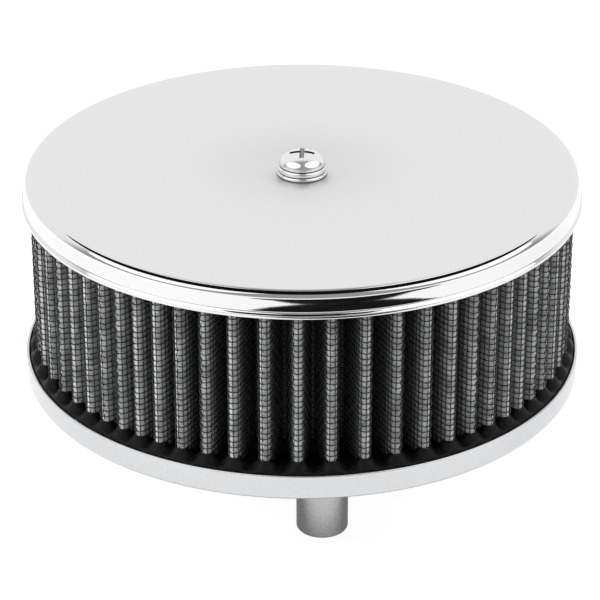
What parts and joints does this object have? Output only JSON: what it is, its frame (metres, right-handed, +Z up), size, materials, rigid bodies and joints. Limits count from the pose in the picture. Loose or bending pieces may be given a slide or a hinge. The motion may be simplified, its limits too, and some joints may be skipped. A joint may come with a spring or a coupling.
{
  "type": "round air cleaner",
  "caption": "Round chrome air cleaner for a carburettor: lid and base pan held together by a screw around a pleated gauze filter ring, with a clamp neck and a breather nipple.",
  "frame": {"origin": "centre of the neck's bottom rim, on which the cleaner stands", "axes": "+Z up along the neck and the lid screw, -Y towards the breather nipple"},
  "size_m": [0.1466, 0.1466, 0.0866],
  "materials": {
    "lid_chrome": "bright chrome plate",
    "base_chrome": "bright chrome plate",
    "screw_chrome": "bright chrome plate",
    "potting_rubber": "moulded black",
    "gauze": "light gauze under dark wire screen",
    "plain_steel": "dull satin plate",
    "bridge_steel": "plain plated strap",
    "clamp_steel": "zinc plate"
  },
  "bodies": {
    "root": {"lid": "lid_chrome", "base_pan": "base_chrome", "lid_screw": "screw_chrome", "lock_washer": "screw_chrome", "flat_washer": "screw_chrome", "upper_end_ring": "potting_rubber", "lower_end_ring": "potting_rubber", "pleated_gauze": "gauze", "neck_tube": "plain_steel", "breather_nipple": "plain_steel", "bridge_strap": "bridge_steel", "bridge_nut": "bridge_steel", "clamp_band": "clamp_steel", "clamp_screw": "clamp_steel", "clamp_nut": "clamp_steel"}
  },
  "joints": []
}
